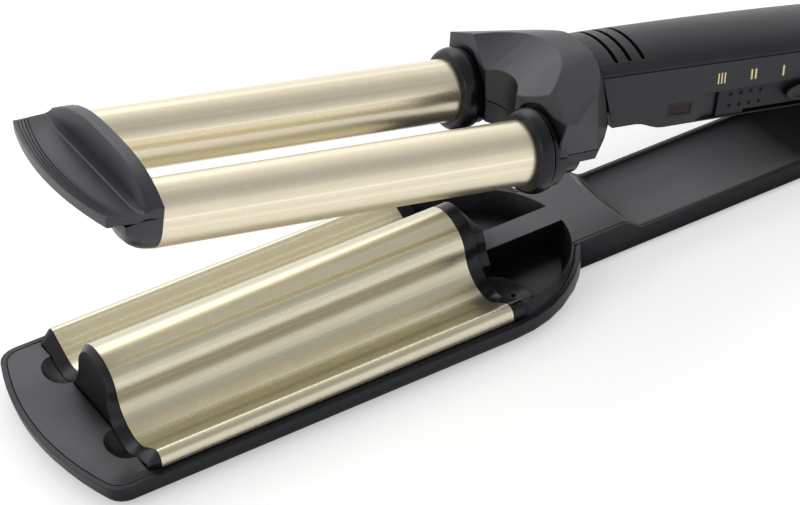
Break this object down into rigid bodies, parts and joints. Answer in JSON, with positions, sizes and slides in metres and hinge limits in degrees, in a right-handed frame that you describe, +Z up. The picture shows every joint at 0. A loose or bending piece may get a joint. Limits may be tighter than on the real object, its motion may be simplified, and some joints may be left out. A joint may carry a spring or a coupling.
{
  "type": "hair waver",
  "caption": "Hair waving iron: a clamp with heated barrels above a heated wave plate, a slide switch on the handle and a turning cord gland.",
  "frame": {"origin": "on the flat bottom of the lower arm, in its middle plane, under the front edge of the wave plate", "axes": "+X from the tip to the cord end, +Y to the side away from the switch, +Z up"},
  "size_m": [0.3453, 0.079, 0.0943],
  "materials": {
    "black_plastic": "fine grained",
    "soft_black": "satin",
    "gold_coating": "satin coating over aluminium",
    "steel": "plain",
    "ceramic": "pale ceramic heater body",
    "red_lens": "clear dark red",
    "board": "laminate",
    "wire": "silicone sleeve"
  },
  "bodies": {
    "lower_arm": {"lower_shell": "black_plastic", "arm_cover": "black_plastic", "wave_plate": "gold_coating", "front_plate_holder": "soft_black", "rear_plate_holder": "soft_black", "plate_heater": "ceramic", "heater_clamp": "steel", "thermal_fuse": "steel", "plate_lead": "wire", "hinge_pin": "steel", "torsion_spring": "steel", "arm_screw_1": "steel", "arm_screw_2": "steel", "arm_screw_3": "steel"},
    "upper_arm": {"barrel_near": "gold_coating", "barrel_heater_near": "ceramic", "collar_near": "soft_black", "barrel_lead_near": "wire", "shoulder_screw_near": "steel", "barrel_far": "gold_coating", "barrel_heater_far": "ceramic", "collar_far": "soft_black", "barrel_lead_far": "wire", "shoulder_screw_far": "steel", "tip_cap": "black_plastic", "shoulder_top": "black_plastic", "shoulder_bottom": "black_plastic", "handle_top_cover": "black_plastic", "handle_lower_shell": "black_plastic", "power_lens": "red_lens", "indicator_lamp": "ceramic", "control_board": "board", "slide_switch_body": "soft_black", "switch_track": "black_plastic", "handle_screw_1": "steel", "handle_screw_2": "steel", "handle_screw_3": "steel", "end_cap": "black_plastic", "swivel_retainer": "soft_black"},
    "switch_slider": {"switch_slider": "soft_black"},
    "cord_swivel": {"swivel_gland": "soft_black"}
  },
  "joints": [
    {"name": "clamp_hinge", "type": "hinge", "parent": "lower_arm", "child": "upper_arm", "pos_m": [0.2811, 0, 0.014], "axis": [0, -1, 0], "range_deg": [0, 11.7], "stiffness_Nm_per_rad": 1.2, "springref_deg": -57.3},
    {"name": "switch_slide", "type": "slide", "parent": "upper_arm", "child": "switch_slider", "axis": [-0.9748, 0, 0.2233], "range_m": [-0.012, 0.024]},
    {"name": "cord_turn", "type": "hinge", "parent": "upper_arm", "child": "cord_swivel", "pos_m": [0.29913, 0, 0.01972], "axis": [0.9748, 0, -0.2233], "continuous": true}
  ]
}
